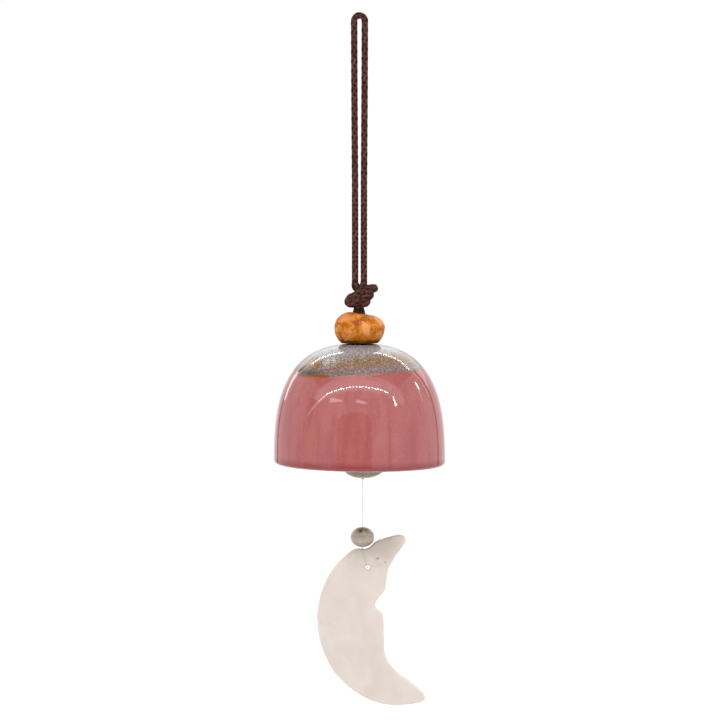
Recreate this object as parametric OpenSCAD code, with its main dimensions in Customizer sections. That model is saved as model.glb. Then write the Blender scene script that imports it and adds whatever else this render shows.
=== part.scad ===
// Porcelain bell chime: a domed, glazed bell hung on a doubled braided cord, with a ceramic bead on
// its crown, a bead for a clapper, and a crescent-shaped wind catcher on a clear line.
// Millimetres. The origin is the point that hangs on a hook: the inside of the loop's top. +Z is up.

/* [Cord] */
// Diameter of the braided cord
cord_d = 2.75; // [2.4:0.05:2.8]
// Distance between the two strands under the loop's top
loop_spacing = 4.3; // [4:0.1:4.6]
// Distance between the two strands just above the knot
leg_spacing = 3.6; // [3.4:0.1:4]
// Drop from the hook to where the loop starts to twist as the chime turns
twist_drop = 70; // [66:1:74]
// Drop from the hook to the knot, where the cord bends as the bell swings
swing_drop = 106; // [104:0.5:106]

/* [Bell] */
// Outer diameter at the rim
bell_d = 70; // [69:0.5:71]
// Height from the rim to the crown
bell_h = 49.3; // [49:0.1:49.8]
// Wall thickness at the rim
bell_wall = 3; // [2.6:0.1:3.2]
// Wall thickness at the crown
crown_wall = 4; // [3.6:0.1:4.2]
// Drop from the hook to the crown's outside
crown_drop = 131.5; // [131.4:0.1:131.7]

/* [Crown bead] */
// Width of the bead that sits on the crown
crown_bead_d = 20.8; // [18:0.1:21]
// Height of the bead at its thick side
crown_bead_h = 13.2; // [12:0.1:13.3]
// Slope of the bead's top face, in degrees
crown_bead_slope = 9.5; // [0:0.5:10]

/* [Clapper] */
// How far the line and all that hangs on it is off the bell's axis
line_x = 1.2; // [0:0.1:1.2]
// Diameter of the clear line
line_d = 0.5; // [0.4:0.05:0.5]
// Drop from the hook to the knot that the clapper swings from
tie_drop = 145; // [144.9:0.05:145]
// Width of the clapper bead
clapper_d = 20.6; // [16:0.1:20.6]
// Height of the clapper bead
clapper_h = 14; // [12:0.1:14]
// Drop from the hook to the middle of the clapper bead
clapper_drop = 179.7; // [179.5:0.1:180]

/* [Wind catcher] */
// Width of the small stone bead
stone_d = 9.7; // [8:0.1:9.8]
// Height of the small stone bead
stone_h = 8.3; // [8.2:0.05:8.4]
// Drop from the hook to the middle of the stone bead
stone_drop = 210.9; // [210.8:0.05:211]
// Thickness of the crescent
crescent_t = 4.6; // [4:0.1:5]
// Diameter of the hole that the line goes through
crescent_hole_d = 2; // [1.6:0.1:2.4]

/* [Hidden] */
$fn = 64;

cord_r = cord_d / 2;
line_r = line_d / 2;

// Heights, all below the hook
twist_z = -twist_drop;
swing_z = -swing_drop;
crown_z = -crown_drop;
rim_z = crown_z - bell_h;
tie_z = -tie_drop;
clapper_z = -clapper_drop;
stone_z = -stone_drop;

// The dome is a superellipse of revolution, steep at the rim and flat on the crown
dome_power_h = 2.85;
dome_power_r = 2.6;
dome_steps = 26;
lip_r = bell_wall / 2;
bell_r = bell_d / 2;
inner_r = bell_r - bell_wall;
inner_h = bell_h - crown_wall;
crown_hole_r = 3.3;

bead_power = 2.3;
knot_power = 2.4;
profile_steps = 14;

// Two strands side by side fill the knots, the bead's bore and the crown's hole
stem_spacing = 2.85;
top_knot_r = 4.3;
top_knot_top = -106.7;
top_knot_bottom = -117.3;
inner_knot_r = 5.2;
inner_knot_top = -136.1;
inner_knot_bottom = -144.2;
knot_flat_r = 2.9;
crown_bead_z = crown_z + 0.15;
crown_bead_foot = 0.5;
crown_bead_cut = 1.05;
crown_bead_bore_r = 3.1;

tie_r = 0.7;
stop_knot_r = 0.8;
stop_knot_z = clapper_z - clapper_h / 2 + 0.1;
bead_bore_r = 0.6;
knot_recess_r = 1.3;
knot_recess_h = 1.1;
line_gap = 0.05;

crescent_top_z = stone_z - stone_h / 2 - 0.85;
crescent_hole = [2.2, -7.5];
outline_steps = 5;
// Outline from the top edge under the bead, down the back of the moon, round both horns and up the
// notched inner edge, measured from the line
crescent_outline = [
    [-3.1, 0], [-7.2, -3], [-11, -6.8], [-14.1, -11.5], [-16.7, -17.5], [-18.2, -23.7],
    [-18.4, -29.9], [-17.7, -36.1], [-15.8, -42.3], [-12.5, -49.1], [-7.9, -54.5], [-1.8, -59.4],
    [5.1, -62.8], [12.5, -64.2], [19.5, -63.8], [24, -63], [25.8, -61.4], [24.5, -59.1],
    [19.3, -54.5], [14.4, -50.8], [11, -47], [9.1, -42.4], [8.8, -37], [8.7, -31.2],
    [8.2, -26.5], [5.7, -24.3], [5.2, -22.5], [6.4, -20.2], [9.1, -16.8], [9.9, -12.2],
    [10.9, -7.3], [13.3, -3.2], [15.8, 0.3], [17.6, 3.2], [17.2, 5.2], [14.7, 5.9],
    [9.3, 4.5], [6, 3.45], [4.6, 2.3], [3, 0.8], [1, -0.05]
];

// Routes, as points that each cord's middle passes through. The loop's top is a half turn.
tube_sides = 8;
loop_bend_r = loop_spacing / 2;
loop_bend_z = cord_r - loop_bend_r;
loop_side = [
    [1.82, 0, twist_z], [1.82, 0, -66], [1.88, 0, -59], [1.93, 0, -51], [1.98, 0, -43],
    [2.03, 0, -35], [2.07, 0, -27], [2.1, 0, -19], [2.13, 0, -11], [2.15, 0, -5]
];
loop_turn = [for (a = [0:22.5:180]) [loop_bend_r * cos(a), 0, loop_bend_z + loop_bend_r * sin(a)]];
leg_side = [
    [1.82, 0, twist_z], [1.82, 0, -74], [1.8, 0, -82], [1.79, 0, -90], [1.79, 0, -97],
    [leg_spacing / 2, 0, -102], [leg_spacing / 2, 0, swing_z]
];
// From inside the stone bead, over the crescent's top edge and down its front face into the hole
loop_front = [
    [1.2, -0.28, -207.5], [1.2, -0.28, -211], [1.2, -0.28, -214.9], [1.2, -0.36, -215.2],
    [1.2, -0.62, -215.38], [1.2, -1.1, -215.42], [1.2, -1.8, -215.45], [1.2, -2.4, -215.5],
    [1.25, -2.78, -215.95], [1.45, -2.8, -216.8], [1.9, -2.75, -218.4], [2.4, -2.7, -220.2],
    [3, -2.75, -222.2], [3.35, -2.35, -223.2], [3.4, -1.2, -223.4]
];

// Points on a smooth closed curve through the given ones
function between(a, b, c, d, t) = ((2 * b) + (c - a) * t + (2 * a - 5 * b + 4 * c - d) * t * t
    + (3 * b - a - 3 * c + d) * t * t * t) / 2;
function smooth_loop(p, steps) = let (n = len(p)) [
    for (i = [0:n - 1], s = [0:steps - 1])
        between(p[(i + n - 1) % n], p[i], p[(i + 1) % n], p[(i + 2) % n], s / steps)
];

function mirrored(route, sign) = [for (p = route) [p.x * sign, p.y, p.z]];
function backwards(list) = [for (i = [len(list) - 1:-1:0]) list[i]];
function unit(v) = v / norm(v);
function heading(route, i) = unit(route[min(i + 1, len(route) - 1)] - route[max(i - 1, 0)]);

// Height of the dome's surface above the rim at radius r, and its radius at height h
function dome_r(h, r_max, h_max) = r_max * pow(1 - pow(h / h_max, dome_power_h), 1 / dome_power_r);
function dome_h(r, r_max, h_max) = h_max * pow(1 - pow(r / r_max, dome_power_r), 1 / dome_power_h);

// The upper half of a superellipse, from its widest point to its top
function half_oval(r, h, power) = [for (i = [0:profile_steps])
    let (a = 90 * i / profile_steps) [r * pow(cos(a), 2 / power), h * pow(sin(a), 2 / power)]];

// A tube of radius r along a route. side is a direction that the route never runs along.
module tube(route, r, side) {
    last = len(route) - 1;
    points = [for (i = [0:last], k = [0:tube_sides - 1])
        let (t = heading(route, i), u = unit(cross(side, t)), v = cross(t, u), a = 360 * k / tube_sides)
            route[i] + r * (cos(a) * u + sin(a) * v)];
    start = [for (k = [0:tube_sides - 1]) k];
    end = [for (k = [tube_sides - 1:-1:0]) last * tube_sides + k];
    sides = [for (i = [0:last - 1], k = [0:tube_sides - 1])
        let (n = (k + 1) % tube_sides, a = i * tube_sides)
            [a + k, a + tube_sides + k, a + tube_sides + n, a + n]];
    polyhedron(points = points, faces = concat([start, end], sides), convexity = 6);
}

// A straight bar with round ends, from a to b
module round_bar(a, b, r) {
    length = norm(b - a);
    slope = acos((b.z - a.z) / length);
    around = atan2(b.y - a.y, b.x - a.x);
    low_end = [for (t = [-90:15:0]) [r * cos(t), r * sin(t)]];
    high_end = [for (t = [0:15:90]) [r * cos(t), length + r * sin(t)]];
    translate(a) rotate([0, slope, around]) rotate_extrude($fn = 24) polygon(concat(low_end, high_end));
}

// A rounded lump of cord with one flat face, at z = 0, from which it reaches down by h
module knot_lump(r, h, flat_r) {
    upper = [for (p = half_oval(r, h / 2, knot_power)) if (p.x > flat_r) [p.x, p.y - h / 2]];
    lower = [for (p = half_oval(r, h / 2, knot_power)) [p.x, -p.y - h / 2]];
    rotate_extrude() polygon(concat([[0, 0], [flat_r, 0]], backwards(upper), lower));
}

// A bead of revolution about Z, round its own middle, with a bore
module bead(d, h, bore_r) {
    top = half_oval(d / 2, h / 2, bead_power);
    bottom = [for (p = backwards(top)) [p.x, -p.y]];
    difference() {
        rotate_extrude() polygon(concat(bottom, [for (i = [1:len(top) - 1]) top[i]]));
        cylinder(r = bore_r, h = 2 * h, center = true, $fn = 32);
    }
}

module hanging_loop() {
    color("#4b322d")
        tube(concat(loop_side, loop_turn, backwards(mirrored(loop_side, -1))), cord_r, [0, 1, 0]);
}

module loop_leg(sign) {
    color("#4b322d") tube(mirrored(leg_side, sign), cord_r, [0, 1, 0]);
}

// The overhand knot of the doubled cord that holds the crown bead down
module top_knot() {
    color("#54373a") union() {
        translate([0, 0, top_knot_bottom]) mirror([0, 0, 1])
            knot_lump(top_knot_r, top_knot_top - top_knot_bottom, knot_flat_r);
        round_bar([-2.6, -2.2, -110.8], [5.7, -0.6, -109.2], 1.85);
        round_bar([-4.2, 0.3, -113], [-4.4, 0.3, -115.3], 1.75);
        for (x = [-1, 1] * leg_spacing / 2)
            translate([x, 0, top_knot_top - 3]) cylinder(r = cord_r, h = swing_z - top_knot_top + 3);
    }
}

// The two strands that pass through the crown bead and the bell's crown
module cord_stem() {
    color("#4b322d") for (x = [-1, 1] * stem_spacing / 2)
        translate([x, 0, inner_knot_top]) cylinder(r = cord_r, h = top_knot_bottom - inner_knot_top);
}

// The knot that carries the bell from inside, with its two cut ends turned out to the sides
module inner_knot() {
    color("#54373a") union() {
        translate([0, 0, inner_knot_top])
            knot_lump(inner_knot_r, inner_knot_top - inner_knot_bottom, knot_flat_r);
        round_bar([-4.6, -1, -138.8], [3.6, -3.4, -140.8], 1.8);
        for (side = [-1, 1]) round_bar([0, side * 3.4, -141.8], [-side, side * 7, -146.4], cord_r);
    }
}

// Its foot is flat on the crown and its top face slopes down to the right
module crown_bead() {
    body_h = crown_bead_h + crown_bead_foot;
    color("#be7136") difference() {
        translate([0, 0, crown_bead_z - crown_bead_foot + body_h / 2])
            bead(crown_bead_d, body_h, crown_bead_bore_r);
        translate([0, 0, crown_bead_z + crown_bead_h - crown_bead_cut]) rotate([0, crown_bead_slope, 0])
            translate([-crown_bead_d, -crown_bead_d, 0]) cube(2 * crown_bead_d);
        translate([-crown_bead_d, -crown_bead_d, crown_bead_z - 2 * crown_bead_d]) cube(2 * crown_bead_d);
    }
}

module bell_shell() {
    bead_seat_h = dome_h(crown_hole_r, bell_r, bell_h);
    roof_h = dome_h(crown_hole_r, inner_r, inner_h);
    outside = [for (i = [0:dome_steps])
        let (a = 90 * i / dome_steps, h = lip_r + (bead_seat_h - lip_r) * sin(a)) [dome_r(h, bell_r, bell_h), h]];
    inside = [for (i = [dome_steps:-1:0])
        let (a = 90 * i / dome_steps, h = lip_r + (roof_h - lip_r) * sin(a)) [dome_r(h, inner_r, inner_h), h]];
    lip = [for (t = [-165:15:-15]) [bell_r - lip_r + lip_r * cos(t), lip_r + lip_r * sin(t)]];
    color("#b2645f") translate([0, 0, rim_z]) rotate_extrude($fn = 96)
        polygon(concat(outside, inside, lip));
}

module line_tie() {
    color("#d8d8d4") translate([line_x, 0, tie_z]) sphere(r = tie_r, $fn = 24);
}

module clapper_line() {
    top = tie_z - tie_r - line_gap;
    bottom = stop_knot_z + stop_knot_r;
    color("#d8d8d4") translate([line_x, 0, bottom]) cylinder(r = line_r, h = top - bottom, $fn = 16);
}

// Its underside has a recess that hides the stop knot
module clapper_bead() {
    color("#98857a") translate([line_x, 0, clapper_z]) difference() {
        bead(clapper_d, clapper_h, bead_bore_r);
        translate([0, 0, -clapper_h / 2 - 1]) cylinder(r = knot_recess_r, h = knot_recess_h + 1, $fn = 32);
    }
}

module stop_knot() {
    color("#d8d8d4") translate([line_x, 0, stop_knot_z]) sphere(r = stop_knot_r, $fn = 24);
}

module catcher_line() {
    top = stop_knot_z - stop_knot_r - line_gap;
    bottom = stone_z + stone_h / 2 + 0.2;
    color("#d8d8d4") translate([line_x, 0, bottom]) cylinder(r = line_r, h = top - bottom, $fn = 16);
}

module stone_bead() {
    color("#b09f8f") translate([line_x, 0, stone_z]) bead(stone_d, stone_h, bead_bore_r);
}

// The doubled line from the stone bead, over the crescent's edge on both sides and through its hole
module crescent_loop() {
    loop_back = [for (p = loop_front) [p.x, -p.y, p.z]];
    color("#d8d8d4") tube(concat(loop_front, backwards(loop_back)), line_r, [1, 0, 0.1]);
}

module crescent() {
    color("#e1d7cd") difference() {
        translate([line_x, crescent_t / 2, crescent_top_z]) rotate([90, 0, 0])
            linear_extrude(crescent_t) polygon(smooth_loop(crescent_outline, outline_steps));
        translate([line_x + crescent_hole.x, 0, crescent_top_z + crescent_hole.y]) rotate([90, 0, 0])
            cylinder(d = crescent_hole_d, h = 2 * crescent_t, center = true, $fn = 32);
    }
}

hanging_loop();
loop_leg(-1);  // loop_leg_left
loop_leg(1);  // loop_leg_right
top_knot();
cord_stem();
inner_knot();
crown_bead();
bell_shell();
line_tie();
clapper_line();
clapper_bead();
stop_knot();
catcher_line();
stone_bead();
crescent_loop();
crescent();
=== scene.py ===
"""The looks of a hanging ceramic bell: cord, crown bead, glazed bell, clapper, line, stone bead and crescent.

Everything is in metres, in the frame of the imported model. MM turns millimetres into metres.
"""

import math

import bpy
import numpy as np
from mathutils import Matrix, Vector, noise


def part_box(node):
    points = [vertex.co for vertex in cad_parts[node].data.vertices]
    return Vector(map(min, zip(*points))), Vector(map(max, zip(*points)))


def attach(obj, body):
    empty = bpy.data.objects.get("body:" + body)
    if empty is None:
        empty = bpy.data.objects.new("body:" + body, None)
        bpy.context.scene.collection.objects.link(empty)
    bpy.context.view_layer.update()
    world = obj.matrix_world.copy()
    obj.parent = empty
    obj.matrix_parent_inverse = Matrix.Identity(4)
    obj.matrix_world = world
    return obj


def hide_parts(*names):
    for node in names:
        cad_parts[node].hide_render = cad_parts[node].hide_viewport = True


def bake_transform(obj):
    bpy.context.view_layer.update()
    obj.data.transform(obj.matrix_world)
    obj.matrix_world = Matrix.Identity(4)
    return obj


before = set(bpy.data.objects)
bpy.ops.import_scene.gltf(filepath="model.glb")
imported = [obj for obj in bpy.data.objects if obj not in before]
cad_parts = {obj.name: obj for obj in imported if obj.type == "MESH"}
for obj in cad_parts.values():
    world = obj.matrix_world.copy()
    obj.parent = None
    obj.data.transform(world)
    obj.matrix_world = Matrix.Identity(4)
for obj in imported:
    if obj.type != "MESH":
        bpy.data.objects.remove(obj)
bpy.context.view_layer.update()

MM = 0.001

BELL_LOW, BELL_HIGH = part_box("bell_shell")
BEAD_LOW, BEAD_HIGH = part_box("crown_bead")
CLAPPER_LOW, CLAPPER_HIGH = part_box("clapper_bead")
STONE_LOW, STONE_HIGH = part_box("stone_bead")
CRESCENT_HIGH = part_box("crescent")[1]
LINE_X = (STONE_LOW.x + STONE_HIGH.x) / 2


# ---------------------------------------------------------------- camera

CAMERA_SENSOR = 36
CAMERA_LENS = 127.5
CAMERA_DISTANCE = 1.04
CAMERA_PITCH = math.radians(3.3)
CAMERA_TARGET = Vector((0.2 * MM, 0, -138.3 * MM))


def make_camera():
    data = bpy.data.cameras.new("camera")
    data.sensor_width = CAMERA_SENSOR
    data.lens = CAMERA_LENS
    camera = bpy.data.objects.new("camera", data)
    back = Vector((0, -math.cos(CAMERA_PITCH), math.sin(CAMERA_PITCH)))
    camera.location = CAMERA_TARGET + back * CAMERA_DISTANCE
    camera.rotation_euler = (math.pi / 2 - CAMERA_PITCH, 0, 0)
    bpy.context.scene.collection.objects.link(camera)
    bpy.context.scene.camera = camera


make_camera()


# ---------------------------------------------------------------- paths and meshes

CURVE_STEPS = 24


def unit(v):
    return v / np.linalg.norm(v, axis=-1, keepdims=True)


def run_of(path):
    """How far along a path each of its points is."""
    return np.concatenate([[0], np.cumsum(np.linalg.norm(np.diff(path, axis=0), axis=1))])


def between(a, b, c, d, t):
    """The points at shares t of the way from b to c, on a smooth curve through a, b, c and d."""
    return (2 * b + (c - a) * t + (2 * a - 5 * b + 4 * c - d) * t**2 + (3 * b - a - 3 * c + d) * t**3) / 2


def smooth_path(points, step):
    """Points about a step apart on a smooth curve through the given ones, which are in millimetres."""
    p = np.array(points, float) * MM
    p = np.vstack([2 * p[0] - p[1], p, 2 * p[-1] - p[-2]])
    t = np.linspace(0, 1, CURVE_STEPS, endpoint=False)[:, None]
    pieces = [between(*four, t) for four in zip(p, p[1:], p[2:], p[3:])]
    dense = np.vstack(pieces + [p[-2:-1]])
    run = run_of(dense)
    at = np.linspace(0, run[-1], max(3, round(run[-1] / step) + 1))
    return np.column_stack([np.interp(at, run, dense[:, k]) for k in range(3)])


def frames(path, side=(0, 1, 0)):
    """The heading at each point of a path, and two directions across it that twist as little as they can."""
    heading = unit(np.gradient(path, axis=0))
    across = np.empty_like(path)
    u = np.array(side, float)
    for i, t in enumerate(heading):
        u = unit(u - t * (u @ t))
        across[i] = u
    return heading, across, np.cross(heading, across)


class Tubes:
    """Gathers tubes, each a stack of rings of points, into one mesh. tone is one number for each tube."""

    def __init__(self):
        self.points, self.faces, self.uv, self.tones, self.count = [], [], [], [], 0

    def add(self, rings, run, tone=0.5):
        n, k = rings.shape[:2]
        i, j = np.meshgrid(np.arange(n - 1), np.arange(k), indexing="ij")
        nxt = (j + 1) % k
        quads = np.stack([i * k + j, i * k + nxt, (i + 1) * k + nxt, (i + 1) * k + j], -1).reshape(-1, 4)
        low, high = run[i] / MM, run[i + 1] / MM
        uv = np.stack([np.stack([low, j / k], -1), np.stack([low, (j + 1) / k], -1),
                       np.stack([high, (j + 1) / k], -1), np.stack([high, j / k], -1)], 2)
        self.faces += (quads + self.count).tolist()
        self.uv.append(uv.reshape(-1, 2))
        for ring, order in ((0, range(k - 1, -1, -1)), (n - 1, range(k))):
            self.faces.append([self.count + ring * k + m for m in order])
            self.uv.append(np.full((k, 2), run[ring] / MM))
        self.points.append(rings.reshape(-1, 3))
        self.tones.append(np.full(n * k, tone))
        self.count += n * k

    def object(self, name, material):
        mesh = bpy.data.meshes.new(name)
        mesh.from_pydata(np.vstack(self.points).tolist(), [], self.faces)
        layer = mesh.uv_layers.new(name="along")
        layer.data.foreach_set("uv", np.vstack(self.uv).astype(np.float32).ravel())
        attribute = mesh.attributes.new("tone", "FLOAT", "POINT")
        attribute.data.foreach_set("value", np.concatenate(self.tones).astype(np.float32))
        return add_object(name, mesh, material)


def add_object(name, mesh, material):
    mesh.shade_smooth()
    mesh.materials.append(material)
    made = bpy.data.objects.new(name, mesh)
    bpy.context.scene.collection.objects.link(made)
    return made


def tube_rings(path, radius, sides=10, side=(0, 1, 0)):
    """Rings of a round tube. radius is one number, or one for each point."""
    _, u, v = frames(path, side)
    a = np.linspace(0, 2 * math.pi, sides, endpoint=False)[None, :, None]
    r = np.broadcast_to(radius, len(path))[:, None, None]
    return path[:, None] + r * (np.cos(a) * u[:, None] + np.sin(a) * v[:, None])


CORD_R = 1.375 * MM
YARN_WIDE = 1.5 * MM
YARN_THICK = 0.8 * MM
YARN_WEAVE = 0.08 * MM
PLAIT_TURN = 15.4 * MM
PLAIT_STEP = 0.4 * MM
YARNS_EACH_WAY = 4
YARN_SIDES = 12
CORE_R = 0.9 * MM
CORE_SIDES = 8
LEG_PHASE = 0.4
TONE_PER_YARN, TONE_PER_WAY = 0.37, 0.21


def plait(tubes, path, phase=0.0, swell=1.0):
    """Adds a round plait of eight yarns, four each way, over and under one another, on a core painted dark as
    the shade between them.
    swell makes it that many times as thick."""
    _, u, v = frames(path)
    run = run_of(path)
    turn = 2 * math.pi * run / PLAIT_TURN
    middle = (CORD_R - YARN_THICK / 2 - YARN_WEAVE) * swell
    ring = np.linspace(0, 2 * math.pi, YARN_SIDES, endpoint=False)[None, :, None]
    swell = np.broadcast_to(swell, len(path))
    thick = swell[:, None, None]
    for way in (1, -1):
        for k in range(YARNS_EACH_WAY):
            angle = way * turn + 2 * math.pi * k / YARNS_EACH_WAY + phase
            out = np.cos(angle)[:, None] * u + np.sin(angle)[:, None] * v
            lift = middle + way * YARN_WEAVE * np.cos(YARNS_EACH_WAY * turn)
            line = path + lift[:, None] * out
            along = unit(np.gradient(line, axis=0))
            wide = unit(np.cross(along, out))
            high = np.cross(wide, along)
            rings = (line[:, None]
                     + thick * YARN_WIDE / 2 * np.cos(ring) * wide[:, None]
                     + thick * YARN_THICK / 2 * np.sin(ring) * high[:, None])
            tubes.add(rings, run_of(line), tone=(TONE_PER_YARN * k + TONE_PER_WAY * way + phase) % 1)
    # The core gets tone 0, the darkest cord colour, as painted shade in the gaps between the yarns.
    tubes.add(tube_rings(path, CORE_R * swell, CORE_SIDES), run, tone=0.0)


def lathe(profile, segments):
    """Points and faces of a closed profile of (radius, height) turned about Z, ring by ring."""
    a = np.linspace(0, 2 * math.pi, segments, endpoint=False)
    profile = np.array(profile)
    r, z = profile[:, 0, None], profile[:, 1, None]
    points = np.stack([r * np.cos(a), r * np.sin(a), z + 0 * a], -1)
    n = len(profile)
    i, j = np.meshgrid(np.arange(n), np.arange(segments), indexing="ij")
    down, nxt = (i + 1) % n, (j + 1) % segments
    faces = np.stack([i * segments + j, down * segments + j, down * segments + nxt, i * segments + nxt], -1)
    return points, faces.reshape(-1, 4)


def lathe_object(name, points, faces, material, values=None):
    mesh = bpy.data.meshes.new(name)
    mesh.from_pydata(points.reshape(-1, 3).tolist(), [], faces.tolist())
    for key, value in (values or {}).items():
        attribute = mesh.attributes.new(key, "FLOAT", "POINT")
        value = np.broadcast_to(value, points.shape[:2]).astype(np.float32)
        attribute.data.foreach_set("value", value.ravel())
    return add_object(name, mesh, material)


def lumps(points, size, seed=0.0):
    """Smooth noise, about -1 to 1, with features of the given size, at each of an array of points."""
    flat = points.reshape(-1, 3) / size + seed
    return np.array([noise.noise(Vector(p)) for p in flat]).reshape(points.shape[:-1])


def half_oval(r, h, power, steps):
    """(radius, height) from the widest point of a superellipse to its top."""
    a = np.linspace(0, math.pi / 2, steps)
    return np.column_stack([r * np.cos(a) ** (2 / power), h * np.sin(a) ** (2 / power)])


# ---------------------------------------------------------------- materials


class Shader:
    """A material with one Principled shader, and short calls for the nodes that feed it."""

    def __init__(self, name, **settings):
        self.material = bpy.data.materials.new(name)
        self.material.use_nodes = True
        self.tree = self.material.node_tree
        self.surface = self.tree.nodes["Principled BSDF"]
        for key, value in settings.items():
            self.surface.inputs[key.replace("_", " ")].default_value = value

    def node(self, kind, inputs=(), **settings):
        made = self.tree.nodes.new(kind)
        for key, value in settings.items():
            setattr(made, key, value)
        for key, value in dict(inputs).items():
            if isinstance(value, bpy.types.NodeSocket):
                self.tree.links.new(value, made.inputs[key])
            else:
                made.inputs[key].default_value = value
        return made

    def feed(self, key, socket):
        self.tree.links.new(socket, self.surface.inputs[key])

    def place(self):
        return self.node("ShaderNodeTexCoord").outputs["Object"]

    def value(self, name):
        return self.node("ShaderNodeAttribute", attribute_name=name).outputs["Fac"]

    def stretched(self, vector, scale):
        return self.node("ShaderNodeMapping", {"Vector": vector, "Scale": scale}).outputs["Vector"]

    def noise(self, vector, size, detail=2.0, rough=0.5, warp=0.0):
        """Noise of 0 to 1 with features of about the given size in metres."""
        return self.node("ShaderNodeTexNoise", {
            "Vector": vector, "Scale": 1 / size, "Detail": detail, "Roughness": rough, "Distortion": warp,
        }).outputs["Fac"]

    def cracks(self, vector, size):
        """The distance to the nearest edge of a pattern of cells, as a share of their size."""
        inputs = {"Vector": vector, "Scale": 1 / size}
        return self.node("ShaderNodeTexVoronoi", inputs, feature="DISTANCE_TO_EDGE").outputs["Distance"]

    def ramp(self, value, low, high, to_low=0.0, to_high=1.0):
        """Maps low..high smoothly to to_low..to_high."""
        inputs = {"Value": value, "From Min": low, "From Max": high, "To Min": to_low, "To Max": to_high}
        return self.node("ShaderNodeMapRange", inputs, interpolation_type="SMOOTHSTEP").outputs["Result"]

    def math(self, operation, a, b=0.0):
        return self.node("ShaderNodeMath", {0: a, 1: b}, operation=operation).outputs[0]

    def near(self, vector, point, ragged):
        """The distance from a point in millimetres, with a ragged amount added."""
        away = self.node("ShaderNodeVectorMath", {0: vector, 1: point}, operation="DISTANCE").outputs["Value"]
        return self.math("ADD", self.math("DIVIDE", away, MM), ragged)

    def mix(self, share, a, b):
        """Colour a, with the given share of colour b."""
        made = self.node("ShaderNodeMix", data_type="RGBA", blend_type="MIX")
        for socket, value in zip((made.inputs[0], made.inputs[6], made.inputs[7]), (share, a, b)):
            if isinstance(value, bpy.types.NodeSocket):
                self.tree.links.new(value, socket)
            else:
                socket.default_value = value if socket.type == "VALUE" else (*value, 1)
        return made.outputs[2]

    def bump(self, height, distance, strength=1.0, below=None):
        inputs = {"Height": height, "Distance": distance, "Strength": strength}
        if below is not None:
            inputs["Normal"] = below
        return self.node("ShaderNodeBump", inputs).outputs["Normal"]


CORD_DARK = (0.030, 0.007, 0.006)
CORD_MAROON = (0.098, 0.038, 0.034)
CORD_BROWN = (0.060, 0.031, 0.018)
CORD_FIBRE = (0.150, 0.072, 0.062)
CORD_GROOVE_SHADE = (0.012, 0.003, 0.003)


def cord_material():
    """Dark maroon braided cord, matte, with a fine grain of fibres along each yarn and painted shade on each
    yarn's sides and underside.
    """
    s = Shader("cord", Roughness=0.8, Specular_IOR_Level=0.04, IOR=1.3)
    uv = s.node("ShaderNodeUVMap", uv_map="along").outputs["UV"]
    tone = s.value("tone")
    fibre = s.noise(s.stretched(uv, (0.9, 9, 1)), 1.0, 3)
    patch = s.noise(s.stretched(uv, (0.22, 1, 1)), 1.0, 2)
    colour = s.mix(tone, CORD_DARK, CORD_MAROON)
    colour = s.mix(s.ramp(patch, 0.35, 0.7), colour, CORD_BROWN)
    colour = s.mix(s.ramp(fibre, 0.42, 0.75, 0, 0.65), colour, CORD_FIBRE)
    # Painted shade: each yarn is painted dark away from its outermost line, where it dips under its
    # neighbours.
    round_yarn = s.node("ShaderNodeSeparateXYZ", {0: uv}).outputs["Y"]
    side = s.math("ABSOLUTE", s.math("SUBTRACT", round_yarn, 0.25))
    colour = s.mix(s.ramp(side, 0.07, 0.21), colour, CORD_GROOVE_SHADE)
    s.feed("Base Color", colour)
    s.feed("Normal", s.bump(fibre, 0.06 * MM, 0.8))
    return s.material


ROSE = (0.352, 0.091, 0.093)
ROSE_DEEP = (0.225, 0.034, 0.042)
ROSE_WARM = (0.372, 0.116, 0.100)
ROSE_PALE = (0.450, 0.185, 0.182)
ROSE_STAINED = (0.290, 0.085, 0.040)
CROWN_GREY = (0.315, 0.315, 0.335)
CROWN_PALE = (0.480, 0.485, 0.520)
CROWN_LILAC = (0.240, 0.150, 0.148)
CROWN_OCHRE = (0.255, 0.130, 0.045)
CROWN_DARK = (0.100, 0.062, 0.040)
EDGE_BROWN = (0.052, 0.030, 0.014)
EDGE_AMBER = (0.230, 0.066, 0.008)
LIP_CREAM = (0.420, 0.230, 0.185)
# A whitish sheen painted as a soft reflection spot on the front left of the crown, and the spot's middle
PAINTED_SHEEN_WHITE = (0.64, 0.64, 0.66)
PAINTED_SHEEN_PLACE = (-12.5 * MM, -20.5 * MM, -135.5 * MM)


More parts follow.
